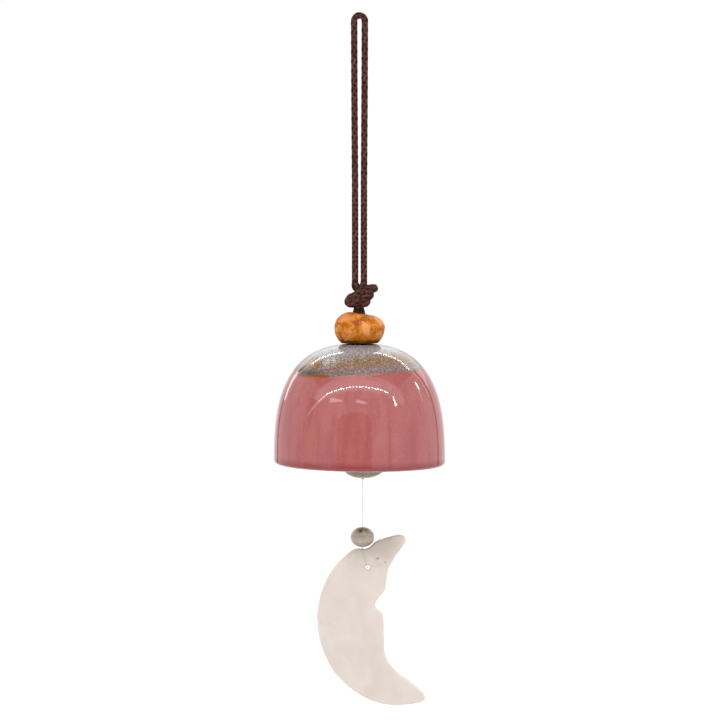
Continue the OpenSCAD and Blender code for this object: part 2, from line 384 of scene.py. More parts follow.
def bell_material():
    """Rose glaze under a thicker grey crackle glaze that has run down over the crown.

    above is the height in millimetres over the edge of the grey glaze, rim the height over the lip, edge how
    dark the grey glaze's edge has fired there.
    """
    s = Shader("bell_glaze", Roughness=0.045, IOR=1.5)
    place = s.place()
    above, rim, edge = s.value("above"), s.value("rim"), s.value("edge")
    broad = s.noise(place, 14 * MM, 2, 0.5, 0.6)
    streak = s.noise(s.stretched(place, (1, 1, 0.12)), 3.4 * MM, 2)
    grain = s.noise(place, 0.5 * MM, 2, 0.6)
    fleck = s.noise(place, 1.3 * MM, 2, 0.6, 0.5)
    coarse = s.noise(place, 2.2 * MM, 3, 0.65, 0.8)

    rose = s.mix(s.ramp(broad, 0.3, 0.7, 0, 0.6), ROSE, ROSE_WARM)
    rose = s.mix(s.ramp(streak, 0.4, 0.7, 0, 0.28), rose, ROSE_DEEP)
    rose = s.mix(s.ramp(fleck, 0.5, 0.75, 0, 0.18), rose, ROSE_PALE)
    rose = s.mix(s.ramp(rim, 4.2, 0.9, 0, 0.9), rose, ROSE_DEEP)
    rose = s.mix(s.ramp(s.math("ADD", rim, s.ramp(coarse, 0.3, 0.7, -0.1, 0.1)), 0.5, 0.2), rose, LIP_CREAM)

    height = s.math("ADD", above, s.ramp(coarse, 0.2, 0.8, -1.6, 1.6))
    crown = s.mix(s.ramp(height, 2.6, 4.4), CROWN_LILAC, CROWN_OCHRE)
    crown = s.mix(s.ramp(height, 5.6, 8.5), crown, CROWN_GREY)
    crown = s.mix(s.ramp(fleck, 0.52, 0.68, 0, 0.4), crown, CROWN_OCHRE)
    pale = s.math("MULTIPLY", s.ramp(grain, 0.5, 0.66), s.ramp(height, 3, 9, 0.45, 0.7))
    crown = s.mix(pale, crown, CROWN_PALE)
    # Painted highlight: a soft whitish sheen spot on the crown
    sheen_spot = s.near(place, PAINTED_SHEEN_PLACE, s.ramp(coarse, 0.3, 0.7, -1.5, 1.5))
    crown = s.mix(s.ramp(sheen_spot, 6.0, 1.0, 0, 0.8), crown, PAINTED_SHEEN_WHITE)
    crown = s.mix(s.ramp(grain, 0.51, 0.36, 0, 0.9), crown, CROWN_DARK)
    cracks = s.ramp(s.cracks(place, 2.6 * MM), 0.05, 0.0, 0, 0.3)
    crown = s.mix(cracks, crown, CROWN_DARK)
    ragged = s.math("ADD", above, s.ramp(coarse, 0.2, 0.8, -0.6, 0.6))
    crown = s.mix(s.math("MULTIPLY", s.ramp(ragged, 4.2, 1.4, 0, 0.85), edge), crown, EDGE_BROWN)
    run = s.ramp(edge, 0.02, 0.5, 0.25, 1)
    crown = s.mix(s.math("MULTIPLY", s.ramp(ragged, 1.3, 0.5, 0, 0.95), run), crown, EDGE_AMBER)
    over = s.ramp(above, -0.2, 0.1)
    stain = s.math("MULTIPLY", s.ramp(above, -0.9, 0.0), run)
    rose = s.mix(stain, rose, ROSE_STAINED)
    # Painted shadow: a dark ring on the crown round the crown bead's foot, 7 to 8.4 millimetres from the axis
    bead_shadow_r = s.near(s.stretched(place, (1, 1, 0)), (0, 0, 0), 0)
    crown = s.mix(s.ramp(bead_shadow_r, 8.4, 7.0, 0, 0.9), crown, CROWN_DARK)
    s.feed("Base Color", s.mix(over, rose, crown))

    ripple = s.noise(place, 1.5 * MM, 2, 0.5)
    skin = s.bump(ripple, 0.006 * MM)
    skin = s.bump(s.math("MULTIPLY", grain, over), 0.02 * MM, 0.7, skin)
    s.feed("Normal", skin)
    s.feed("Roughness", s.ramp(over, 0, 1, 0.04, 0.10))
    return s.material


AMBER = (0.580, 0.200, 0.030)
AMBER_DEEP = (0.360, 0.092, 0.006)
AMBER_PALE = (0.740, 0.315, 0.110)
AMBER_RED = (0.310, 0.062, 0.008)
AMBER_FRECKLE = (0.260, 0.035, 0.008)
AMBER_STAIN = (0.270, 0.045, 0.022)
AMBER_LOW = (0.360, 0.105, 0.004)
AMBER_FOOT_SHADE = (0.090, 0.026, 0.002)
STAIN_PLACE = (-1.6 * MM, -9.6 * MM, -122.6 * MM)


def amber_material():
    """Mottled amber glaze, satin, with reddish stains and darker freckles, darker towards the bottom, and a
    brown painted contact shadow at its foot.
    """
    s = Shader("amber_glaze", Roughness=0.5, IOR=1.45, Specular_IOR_Level=0.09)
    place = s.place()
    mottle = s.noise(place, 2.6 * MM, 4, 0.65, 1.1)
    cloud = s.noise(place, 5.2 * MM, 2, 0.5, 0.5)
    freckle = s.noise(s.stretched(place, (1, 1, 0.8)), 1.1 * MM, 2, 0.6)
    colour = s.mix(s.ramp(mottle, 0.38, 0.6), AMBER_DEEP, AMBER)
    colour = s.mix(s.ramp(cloud, 0.52, 0.68, 0, 0.8), colour, AMBER_PALE)
    colour = s.mix(s.ramp(cloud, 0.42, 0.28, 0, 0.7), colour, AMBER_RED)
    colour = s.mix(s.ramp(freckle, 0.62, 0.72, 0, 0.6), colour, AMBER_FRECKLE)
    stain = s.near(place, STAIN_PLACE, s.ramp(mottle, 0.3, 0.7, -1.0, 1.0))
    colour = s.mix(s.ramp(stain, 2.4, 1.0, 0, 0.75), colour, AMBER_STAIN)
    low = s.math("ADD", s.value("foot"), s.ramp(mottle, 0.3, 0.7, -0.6, 0.6))
    colour = s.mix(s.ramp(low, 5.5, 2.5, 0, 0.5), colour, AMBER_LOW)
    # Painted shadow: the lowest two millimetres or so are painted dark brown where the bead sits on the bell.
    colour = s.mix(s.ramp(low, 2.2, 0.6, 0, 0.9), colour, AMBER_FOOT_SHADE)
    s.feed("Base Color", colour)
    s.feed("Normal", s.bump(mottle, 0.12 * MM, 0.7))
    s.feed("Roughness", s.ramp(mottle, 0.3, 0.7, 0.55, 0.42))
    return s.material


TAUPE = (0.250, 0.182, 0.140)
TAUPE_DARK = (0.185, 0.122, 0.088)
TAUPE_GRAIN = (0.290, 0.235, 0.195)
TAUPE_CRACK = (0.090, 0.055, 0.040)


def clapper_material():
    """Taupe crackle glaze."""
    s = Shader("clapper_glaze", Roughness=0.3, IOR=1.45, Specular_IOR_Level=0.25)
    place = s.place()
    cloud = s.noise(place, 5 * MM, 3, 0.6)
    grain = s.noise(place, 0.6 * MM, 2, 0.6)
    colour = s.mix(s.ramp(cloud, 0.3, 0.7), TAUPE_DARK, TAUPE)
    colour = s.mix(s.ramp(grain, 0.4, 0.7, 0, 0.4), colour, TAUPE_GRAIN)
    crack = s.cracks(place, 2.4 * MM)
    colour = s.mix(s.ramp(crack, 0.06, 0.0, 0, 0.7), colour, TAUPE_CRACK)
    s.feed("Base Color", colour)
    s.feed("Normal", s.bump(s.ramp(crack, 0, 0.08), 0.03 * MM, 0.8))
    return s.material


STONE_DARK = (0.290, 0.235, 0.180)
STONE_LIGHT = (0.430, 0.360, 0.285)
STONE_PALE = (0.620, 0.540, 0.450)
STONE_BROWN = (0.120, 0.092, 0.068)
STONE_BORE_SHADE = (0.040, 0.030, 0.022)
BORE_SHADE_PLACE = (LINE_X - 0.8 * MM, -3.5 * MM, STONE_HIGH.z - 1.3 * MM)


def stone_material():
    """Polished taupe stone with fine level bands, browner round its bore, and a dark spot painted in front of
    it as the shade in the bore's mouth.
    """
    s = Shader("stone", Roughness=0.28, IOR=1.54)
    place = s.place()
    warp = s.noise(place, 2.4 * MM, 3, 0.6)
    wave = s.node("ShaderNodeCombineXYZ", {"Z": s.ramp(warp, 0.2, 0.8, -0.9 * MM, 0.9 * MM)}).outputs[0]
    waved = s.node("ShaderNodeVectorMath", {0: place, 1: wave}).outputs["Vector"]
    band = s.noise(s.stretched(waved, (0.1, 0.1, 1)), 1.1 * MM, 3, 0.6)
    colour = s.mix(s.ramp(band, 0.35, 0.65), STONE_DARK, STONE_LIGHT)
    colour = s.mix(s.ramp(warp, 0.55, 0.75, 0, 0.5), colour, STONE_PALE)
    bore = s.near(place, (LINE_X, 0, STONE_HIGH.z), s.ramp(warp, 0.3, 0.7, -0.5, 0.5))
    colour = s.mix(s.ramp(bore, 4.8, 2.0, 0, 0.75), colour, STONE_BROWN)
    # Painted shade: a dark spot on the front face, just below the top, standing in for the shaded mouth of
    # the bore
    bore_shade = s.near(place, BORE_SHADE_PLACE, 0)
    colour = s.mix(s.ramp(bore_shade, 1.0, 0.5, 0, 0.85), colour, STONE_BORE_SHADE)
    s.feed("Base Color", colour)
    s.feed("Normal", s.bump(warp, 0.06 * MM, 0.6))
    return s.material


BISQUE = (0.634, 0.571, 0.524)
BISQUE_WARM = (0.580, 0.510, 0.459)
BISQUE_FINE = (0.550, 0.490, 0.430)
BISQUE_TOP_SHADE = (0.470, 0.415, 0.360)
SPECK_BROWN = (0.250, 0.170, 0.120)
SPECK_AND_SHADE_DARK = (0.160, 0.120, 0.100)
# The places of the larger specks, and of two marks of painted shade, and their radii in millimetres
CRESCENT_SPECKS_AND_SHADE = [
    ((7.4 * MM, -2.3 * MM, -219.5 * MM), 0.9), ((10.6 * MM, -2.3 * MM, -220.9 * MM), 0.5),
    # These two are painted shade along the crease of the horn's top edge, not specks
    ((12 * MM, -1.7 * MM, -211.5 * MM), 0.9), ((10.5 * MM, -1.7 * MM, -212 * MM), 0.7),
]


def bisque_material():
    """Cream translucent bisque with clouding, a few iron specks, painted shade along the horn's top edge and
    painted shade towards the top.
    """
    s = Shader("bisque", Roughness=0.42, IOR=1.45, Subsurface_Weight=0.35, Subsurface_Scale=2.2 * MM)
    s.surface.inputs["Subsurface Radius"].default_value = (1.0, 0.75, 0.6)
    place = s.place()
    cloud = s.noise(place, 11 * MM, 3, 0.55, 0.5)
    fine = s.noise(place, 1.3 * MM, 2, 0.6)
    speck = s.node("ShaderNodeTexVoronoi", {
        "Vector": place, "Scale": 1 / (6.5 * MM), "Randomness": 1.0}).outputs
    colour = s.mix(s.ramp(cloud, 0.3, 0.7), BISQUE_WARM, BISQUE)
    colour = s.mix(s.ramp(fine, 0.55, 0.8, 0, 0.25), colour, BISQUE_FINE)
    size = s.ramp(s.noise(place, 9 * MM, 1), 0.45, 0.75, 0.0, 0.055)
    spot = s.ramp(s.math("SUBTRACT", speck["Distance"], size), 0.02, -0.005)
    colour = s.mix(s.math("MULTIPLY", spot, 0.55), colour, SPECK_BROWN)
    for point, wide in CRESCENT_SPECKS_AND_SHADE:
        spot = s.near(place, point, s.ramp(fine, 0.3, 0.7, -0.2, 0.2))
        colour = s.mix(s.ramp(spot, wide, wide / 2, 0, 0.75), colour, SPECK_AND_SHADE_DARK)
    # Painted shade: the bisque is painted darker towards the top of the crescent, where the bell above keeps
    # light off it
    top_shade = s.near(s.stretched(place, (0.6, 1, 1)), (0, 0, CRESCENT_HIGH.z), s.ramp(cloud, 0.3, 0.7, -2, 2))
    colour = s.mix(s.ramp(top_shade, 15, 5), colour, BISQUE_TOP_SHADE)
    s.feed("Base Color", colour)
    s.feed("Normal", s.bump(fine, 0.03 * MM, 0.5))
    return s.material


LINE_CLEAR = [(0.90, 0.90, 0.90), (0.95, 0.95, 0.95)]
LINE_GREY = (0.76, 0.76, 0.76)


def line_material():
    """Clear monofilament, painted greyer above the stone bead than below it as painted shade."""
    s = Shader("clear_line", Roughness=0.05, IOR=1.06, Transmission_Weight=1.0)
    place = s.place()
    height = s.node("ShaderNodeSeparateXYZ", {0: place}).outputs["Z"]
    # Painted shade: where the line runs free above the stone bead it is painted grey, for how the clear line
    # looks darker against the light background
    free = s.ramp(height, STONE_LOW.z, STONE_HIGH.z)
    clear = s.mix(s.noise(place, 2 * MM), *LINE_CLEAR)
    s.feed("Base Color", s.mix(free, clear, LINE_GREY))
    return s.material


# ---------------------------------------------------------------- cords

LOOP_SIDE = [
    (1.82, 0, -70), (1.82, 0, -66), (1.88, 0, -59), (1.93, 0, -51), (1.98, 0, -43),
    (2.03, 0, -35), (2.07, 0, -27), (2.1, 0, -19), (2.13, 0, -11), (2.15, 0, -5),
]
LEG_SIDE = [
    (1.82, 0, -70), (1.82, 0, -74), (1.8, 0, -82), (1.79, 0, -90), (1.79, 0, -97),
    (1.8, 0, -102), (1.8, 0, -106),
]
LOOP_BEND_R = 2.15
LOOP_BEND_Z = CORD_R / MM - LOOP_BEND_R
LOOP_BEND_STEPS = 9


def mirrored(route):
    return [(-x, y, z) for x, y, z in route]


def make_hanging_loop(material):
    turn = [(LOOP_BEND_R * math.cos(a), 0, LOOP_BEND_Z + LOOP_BEND_R * math.sin(a))
            for a in np.linspace(0, math.pi, LOOP_BEND_STEPS)]
    path = smooth_path(LOOP_SIDE + turn + mirrored(LOOP_SIDE)[::-1], PLAIT_STEP)
    tubes = Tubes()
    plait(tubes, path)
    loop = tubes.object("braided_loop", material)
    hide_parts("hanging_loop")
    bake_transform(loop)


def make_leg(name, node, route, material):
    path = smooth_path(route[::-1], PLAIT_STEP)
    tubes = Tubes()
    plait(tubes, path, phase=LEG_PHASE)
    leg = tubes.object(name, material)
    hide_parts(node)
    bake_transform(leg)


# The two strands of the knot over the bead. The left one goes behind to the right, comes back across the
# front to the lower left, and round behind to the neck. The right one goes behind to the left and back
# under it.
KNOT_LEFT = [
    (-1.8, 0, -106), (-1.7, 0.6, -107.6), (-1, 1.4, -109), (1.2, 2.1, -109.6), (4, 1.8, -109.3),
    (5.6, 0.6, -109.1), (5.75, -0.9, -109.1), (4.4, -2.1, -109.3), (2, -2.5, -110.2), (-0.8, -2.4, -111.5),
    (-2.8, -1.7, -112.9), (-4.35, -0.4, -114.1), (-4.3, 1, -115), (-3, 1.8, -115.3), (-0.6, 2.1, -115),
    (1.6, 1.7, -114.4), (2.7, 0.8, -114.4), (2.5, -0.7, -114.8), (1.3, -1.4, -115.2), (0, -1.2, -115.9),
    (-0.9, -0.6, -117), (-1.4, -0.2, -118.4),
]
KNOT_RIGHT = [
    (1.8, 0, -106), (1.7, 0.4, -107.6), (1.3, 0.8, -109.2), (0.2, 1.1, -110.8), (-1.8, 0.9, -112.2),
    (-3.6, 0, -113), (-4.1, -1.2, -114), (-3.4, -2, -114.8), (-1.6, -2.5, -114.5), (0.8, -2.5, -113.3),
    (2.8, -1.9, -112.1), (4.1, -0.6, -111.5), (4, 0.9, -112.1), (2.5, 1.8, -113.5), (0.9, 1.9, -115),
    (0.3, 1.1, -116.4), (0.5, 0.4, -117.5), (0.9, 0, -118.4),
]
# The cord swells between the knot's shoulder and its neck, and the swelling fades in over KNOT_FADE
KNOT_SWELL = 0.32
KNOT_SHOULDER, KNOT_NECK = -106.4, -117.6
KNOT_FADE = 2
STEM_LEFT = [(-1.4, -0.2, -118.4), (-1.43, 0, -120.4), (-1.43, 0, -126), (-1.43, 0, -131), (-1.43, 0, -136.1)]
STEM_RIGHT = [(0.9, 0, -118.4), (1.2, 0, -120.4), (1.43, 0, -126), (1.43, 0, -131), (1.43, 0, -136.1)]


def make_top_knot(material):
    tubes = Tubes()
    for phase, route in enumerate((KNOT_LEFT, KNOT_RIGHT)):
        path = smooth_path(route, PLAIT_STEP)
        height = path[:, 2] / MM
        over_neck = np.clip((height - KNOT_NECK) / KNOT_FADE, 0, 1)
        under_shoulder = np.clip((KNOT_SHOULDER - height) / KNOT_FADE, 0, 1)
        plait(tubes, path, phase=LEG_PHASE + phase, swell=1 + KNOT_SWELL * over_neck * under_shoulder)
    knot = tubes.object("cord_knot", material)
    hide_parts("top_knot")
    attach(knot, "bell_cord")


def make_stem(material):
    tubes = Tubes()
    for route in (STEM_LEFT, STEM_RIGHT):
        plait(tubes, smooth_path(route, PLAIT_STEP), phase=LEG_PHASE)
    stem = tubes.object("cord_stem_braid", material)
    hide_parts("cord_stem")
    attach(stem, "bell_cord")


# The knot inside the bell, which carries its weight, with the two cut ends turned out
INNER_ROUTE = [
    (1.43, 0, -136.1), (1.6, 0.8, -137.6), (0.4, 2.6, -138.6), (-2.2, 3.0, -139.0), (-4.0, 0.8, -139.3),
    (-3.6, -2.2, -139.8), (-0.8, -3.7, -140.3), (2.4, -2.9, -140.6), (3.6, -0.4, -140.6), (2.8, 1.8, -141.0),
    (1.0, 3.0, -141.6), (0.3, 4.9, -143.2), (-1, 7, -146.4),
]


def make_inner_knot(material):
    tubes = Tubes()
    opposite = [(-x, -y, z) for x, y, z in INNER_ROUTE]
    for phase, route in enumerate((INNER_ROUTE, opposite)):
        plait(tubes, smooth_path(route, PLAIT_STEP), phase=LEG_PHASE + phase)
    knot = tubes.object("inner_cord_knot", material)
    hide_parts("inner_knot")
    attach(knot, "bell_cord")


cord = cord_material()
make_hanging_loop(cord)
make_leg("braided_leg_left", "loop_leg_left", mirrored(LEG_SIDE), cord)
make_leg("braided_leg_right", "loop_leg_right", LEG_SIDE, cord)
make_top_knot(cord)
make_stem(cord)
make_inner_knot(cord)


# ---------------------------------------------------------------- crown bead

BEAD_BORE_R = 3.1 * MM
BEAD_SLOPE = math.radians(9.5)
BEAD_MIDDLE_H = 6.4 * MM
BEAD_UPPER_H, BEAD_UPPER_POWER = 6.7 * MM, 2.0
BEAD_LOWER_H, BEAD_LOWER_POWER = 8.9 * MM, 2.1
BEAD_TOP_H = 12.15 * MM
BEAD_TOP_SOFT = 0.3 * MM
BEAD_SHEAR = 0.013
BEAD_DENT, BEAD_FINE_DENT = 0.12 * MM, 0.04 * MM


def make_crown_bead(material):
    """The bead, cut off level below and, softly, on a slope above."""
    radius = (BEAD_HIGH.x - BEAD_LOW.x) / 2
    foot = BEAD_LOW.z
    centre_z = foot + BEAD_MIDDLE_H
    upper = half_oval(radius, BEAD_UPPER_H, BEAD_UPPER_POWER, 40)
    lower = half_oval(radius, BEAD_LOWER_H, BEAD_LOWER_POWER, 40) * (1, -1)
    upper, lower = upper[upper[:, 0] > BEAD_BORE_R], lower[lower[:, 0] > BEAD_BORE_R]
    outside = np.vstack([lower[::-1], upper[1:]]) + (0, centre_z)
    wall = np.column_stack([np.full(16, BEAD_BORE_R), np.linspace(outside[-1, 1], outside[0, 1], 18)[1:-1]])
    points, faces = lathe(np.vstack([outside, wall]), 128)
    dent = BEAD_DENT * (0.6 + lumps(points, 6 * MM, 3.1)) + BEAD_FINE_DENT * (0.6 + lumps(points, 2 * MM))
    reach = np.linalg.norm(points[..., :2], axis=-1) / radius
    points = points - unit(points * (1, 1, 0)) * (np.maximum(dent, 0) * reach**4)[..., None]
    above = np.clip(points[..., 2] - centre_z, 0, BEAD_UPPER_H) / MM
    points[..., 2] -= BEAD_SHEAR * points[..., 0] * above
    top = foot + BEAD_TOP_H - math.tan(BEAD_SLOPE) * points[..., 0]
    points[..., 2] = -BEAD_TOP_SOFT * np.logaddexp(-points[..., 2] / BEAD_TOP_SOFT, -top / BEAD_TOP_SOFT)
    points[..., 2] = np.maximum(points[..., 2], foot)
    bead = lathe_object("amber_crown_bead", points, faces, material, {"foot": (points[..., 2] - foot) / MM})
    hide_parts("crown_bead")
    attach(bead, "crown_bead")


make_crown_bead(amber_material())


# ---------------------------------------------------------------- bell

BELL_R = BELL_HIGH.x
BELL_H = BELL_HIGH.z - BELL_LOW.z
BELL_WALL = 3 * MM
CROWN_WALL = 4 * MM
CROWN_HOLE_R = 3.3 * MM
DOME_POWER_H = 2.85
DOME_POWER_R = 2.6
# How far the rim is off level at each side, and how uneven the outside is
RIM_LEAN = 0.4 * MM
HAND_MADE = 0.06 * MM

# The grey glaze's edge: its height over the rim, how far it tilts, rises at the sides, waves and wanders
GREY_EDGE = 37.7 * MM
GREY_THICK = 0.1 * MM
GREY_SOFT = 0.5 * MM
EDGE_TILT = 1.1 * MM
EDGE_RISE = 1.6 * MM
EDGE_WAVE = 0.35 * MM
EDGE_WANDER = 0.3 * MM
# Where it rises and where it has fired dark: an angle round the bell from its front and a width, in radians
RISES = [(-1.4, 0.32), (1.45, 0.4)]
DARK_EDGES = [(-1.02, 0.5), (1.95, 0.45), (3.3, 0.35)]
FAR_BELOW = -20


def dome_r(h, r_max, h_max):
    return r_max * (1 - (h / h_max) ** DOME_POWER_H) ** (1 / DOME_POWER_R)


def dome_h(r, r_max, h_max):
    return h_max * (1 - (r / r_max) ** DOME_POWER_R) ** (1 / DOME_POWER_H)


def bell_profile():
    """(radius, height over the rim) round the wall, outside first, and the number of rings on the outside."""
    lip_r = BELL_WALL / 2
    outer_top = dome_h(CROWN_HOLE_R, BELL_R, BELL_H)
    inner_top = dome_h(CROWN_HOLE_R, BELL_R - BELL_WALL, BELL_H - CROWN_WALL)
    outer_h = lip_r + (outer_top - lip_r) * np.sin(np.linspace(0, math.pi / 2, 150))
    inner_h = lip_r + (inner_top - lip_r) * np.sin(np.linspace(math.pi / 2, 0, 70))
    t = np.radians(np.arange(-170, 0, 10))
    lip = np.column_stack([BELL_R - lip_r + lip_r * np.cos(t), lip_r + lip_r * np.sin(t)])
    outer = np.column_stack([dome_r(outer_h, BELL_R, BELL_H), outer_h])
    inner = np.column_stack([dome_r(inner_h, BELL_R - BELL_WALL, BELL_H - CROWN_WALL), inner_h])
    return np.vstack([outer, inner, lip]), len(outer)


def bulge(around, middle, width):
    """1 at one angle round the bell, falling to 0 over about the given width on both sides."""
    return np.exp(-((np.remainder(around - middle + math.pi, 2 * math.pi) - math.pi) / width) ** 2)


def make_bell(material):
    """The bell, a little uneven outside, with its rim slightly off level and the grey glaze as a low step."""
    profile, outer = bell_profile()
    points, faces = lathe(profile, 420)
    around = np.arctan2(points[..., 0], -points[..., 1])
    height = points[..., 2].copy()
    share = height / BELL_H

    above = height - GREY_EDGE - EDGE_TILT * np.sin(around)
    above = above - EDGE_RISE * sum(bulge(around, *place) for place in RISES)
    above = above - EDGE_WAVE * np.sin(3 * around + 0.6) - EDGE_WANDER * lumps(points, 5 * MM, 7.7)
    edge = sum(bulge(around, *place) for place in DARK_EDGES)

    outside = (np.arange(len(profile)) < outer)[:, None]
    step = GREY_THICK * np.clip(above / GREY_SOFT + 0.5, 0, 1)
    hand = -HAND_MADE * (1 + lumps(points * (1, 1, 0.4), 26 * MM, 1.3)) * np.clip(share * 3, 0, 1)
    grow = (step + hand) * outside
    points = points + unit(points * (1, 1, 0)) * grow[..., None]
    lean = -RIM_LEAN * points[..., 0] / BELL_R * (1 - share)
    points[..., 2] += BELL_LOW.z + lean
    bell = lathe_object("glazed_bell", points, faces, material, {
        "above": np.where(outside, above / MM, FAR_BELOW), "rim": height / MM, "edge": edge})
    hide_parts("bell_shell")
    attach(bell, "bell")


make_bell(bell_material())


# ---------------------------------------------------------------- clapper and stone bead


LINE_BORE_R = 0.6 * MM
CLAPPER_RECESS = (1.3 * MM, 1.1 * MM)
CLAPPER_SCALE = (0.93, 0.96, 1)
CLAPPER_SHIFT = 0.7 * MM
CLAPPER_DENT = 0.2 * MM
STONE_DENT = 0.05 * MM


def bead_points(low, high, bore, recess=(0, 0), segments=112, steps=36, power=2.3):
    """A bead in a CAD bead's box, with a bore down its middle and a recess of (radius, depth) under it."""
    radius, half = (high.x - low.x) / 2, (high.z - low.z) / 2
    upper = half_oval(radius, half, power, steps)
    upper = upper[upper[:, 0] > bore * 1.2]
    lower = upper[::-1] * (1, -1)
    if recess[0]:
        lower = lower[lower[:, 0] > recess[0]]
        rise = recess[1]
        lower = np.vstack([[(bore, rise - half), (recess[0], rise - half)], lower])
    outside = np.vstack([lower, upper[1:], [(bore, half)]])
    wall = np.column_stack([np.full(12, bore), np.linspace(half, outside[0, 1], 14)[1:-1]])
    points, faces = lathe(np.vstack([outside, wall]), segments)
    middle = np.array([(low.x + high.x) / 2, 0, (low.z + high.z) / 2])
    return points, faces, middle


def make_clapper(material):
    points, faces, middle = bead_points(CLAPPER_LOW, CLAPPER_HIGH, LINE_BORE_R, CLAPPER_RECESS)
    dent = CLAPPER_DENT * (0.5 + 0.5 * lumps(points, 7 * MM, 5.2))
    reach = np.linalg.norm(points[..., :2], axis=-1, keepdims=True) / CLAPPER_HIGH.y
    points = (points - unit(points) * dent[..., None]) * CLAPPER_SCALE + middle
    points[..., :1] += CLAPPER_SHIFT * reach
    clapper = lathe_object("crackle_clapper", points, faces, material)
    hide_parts("clapper_bead")
    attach(clapper, "clapper")


def make_stone(material):
    points, faces, middle = bead_points(STONE_LOW, STONE_HIGH, LINE_BORE_R, segments=80, steps=28, power=2.05)
    dent = STONE_DENT * (0.5 + 0.5 * lumps(points, 3 * MM, 8.1))
    points = points - unit(points) * dent[..., None] + middle
    stone = lathe_object("banded_stone_bead", points, faces, material)
    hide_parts("stone_bead")
    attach(stone, "stone_bead")


make_clapper(clapper_material())
make_stone(stone_material())


# ---------------------------------------------------------------- crescent

CRESCENT_TOP_Z = -215.9 * MM
CRESCENT_HOLE = (2.2, -7.5)
CRESCENT_HOLE_R = 1.1 * MM
CRESCENT_STEPS = 6
CRESCENT_DENT = 0.12 * MM
VOXEL = 0.4 * MM
SMOOTH_STEPS = 9
# Millimetres from the line at CRESCENT_TOP_Z: down the outer edge, round the lower tip, up the notched inner
# edge and round the upper horn
CRESCENT_OUTLINE = [
    (-3.1, 0), (-7.2, -3), (-11, -6.8), (-14.1, -11.5), (-16.7, -17.5), (-18.2, -23.7),
    (-18.4, -29.9), (-17.7, -36.1), (-15.8, -42.3), (-12.5, -49.1), (-7.9, -54.5), (-1.8, -59.4),
    (5.1, -62.8), (12.5, -64.2), (19.5, -63.8), (24, -63), (25.8, -61.4), (24.5, -59.1),
    (19.3, -54.5), (14.4, -50.8), (11, -47), (9.1, -42.4), (8.8, -37), (8.7, -31.2),
    (8.2, -26.5), (5.7, -24.3), (5.2, -22.5), (6.4, -20.2), (9.1, -16.8), (9.9, -12.2),
    (10.9, -7.3), (13.3, -3.2), (15.8, 0.3), (17.6, 3.2), (17.2, 5.2), (14.7, 5.9),
    (9.3, 4.5), (6, 3.45), (4.6, 2.3), (3, 0.8), (1, -0.05),
]


def apply_modifiers(made):
    """Gives the object the mesh that it has after its modifiers, and removes them."""
    evaluated = made.evaluated_get(bpy.context.evaluated_depsgraph_get())
    mesh = bpy.data.meshes.new_from_object(evaluated)
    made.modifiers.clear()
    made.data = mesh


def closed_curve(points, steps):
    """Points on a smooth closed curve through the given ones, which are in millimetres."""
    p = np.array(points, float) * MM
    a, b, c, d = np.roll(p, 1, 0), p, np.roll(p, -1, 0), np.roll(p, -2, 0)
    t = np.linspace(0, 1, steps, endpoint=False)[None, :, None]
    return between(*(q[:, None] for q in (a, b, c, d)), t).reshape(-1, 2)


def slab(name, outline, half):
    """A flat solid with the given outline in X and Z, from -half to half in Y."""
    n = len(outline)
    points = [(x, y, z) for y in (-half, half) for x, z in outline]
    faces = [list(range(n)), list(range(2 * n - 1, n - 1, -1))]
    faces += [[i, i + n, (i + 1) % n + n, (i + 1) % n] for i in range(n)]
    mesh = bpy.data.meshes.new(name)
    mesh.from_pydata(points, [], faces)
    made = bpy.data.objects.new(name, mesh)
    bpy.context.scene.collection.objects.link(made)
    return made


def make_crescent(material):
    """The moon: a slab with a drilled hole, rounded all over and slightly uneven on its two faces."""
    half = CRESCENT_HIGH.y
    outline = closed_curve(CRESCENT_OUTLINE, CRESCENT_STEPS) + (LINE_X, CRESCENT_TOP_Z)
    moon = slab("bisque_crescent", outline, half)
    a = np.linspace(0, 2 * math.pi, 40, endpoint=False)
    centre = np.array([LINE_X + CRESCENT_HOLE[0] * MM, CRESCENT_TOP_Z + CRESCENT_HOLE[1] * MM])
    drill = slab("drill", centre + CRESCENT_HOLE_R * np.column_stack([np.cos(a), np.sin(a)]), 2 * half)
    cut = moon.modifiers.new("cut", "BOOLEAN")
    cut.object, cut.operation, cut.solver = drill, "DIFFERENCE", "EXACT"
    remesh = moon.modifiers.new("remesh", "REMESH")
    remesh.mode, remesh.voxel_size = "VOXEL", VOXEL
    smooth = moon.modifiers.new("smooth", "SMOOTH")
    smooth.iterations, smooth.factor = SMOOTH_STEPS, 0.5
    apply_modifiers(moon)
    bpy.data.objects.remove(drill)
    count = len(moon.data.vertices)
    points = np.empty(count * 3)
    moon.data.vertices.foreach_get("co", points)
    points = points.reshape(-1, 3)
    points[:, 1] -= np.sign(points[:, 1]) * CRESCENT_DENT * (1 + lumps(points, 9 * MM, 2.2))
    moon.data.vertices.foreach_set("co", points.ravel())
    moon.data.shade_smooth()
    moon.data.materials.clear()
    moon.data.materials.append(material)
    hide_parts("crescent")
    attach(moon, "crescent")


make_crescent(bisque_material())


# ---------------------------------------------------------------- clear line

LINE_R = 0.25 * MM
LINE_STEP = 0.25 * MM
LINE_SIDES = 10
KNOT_TAIL_UP, KNOT_TAIL_DOWN = 0.7, 0.5
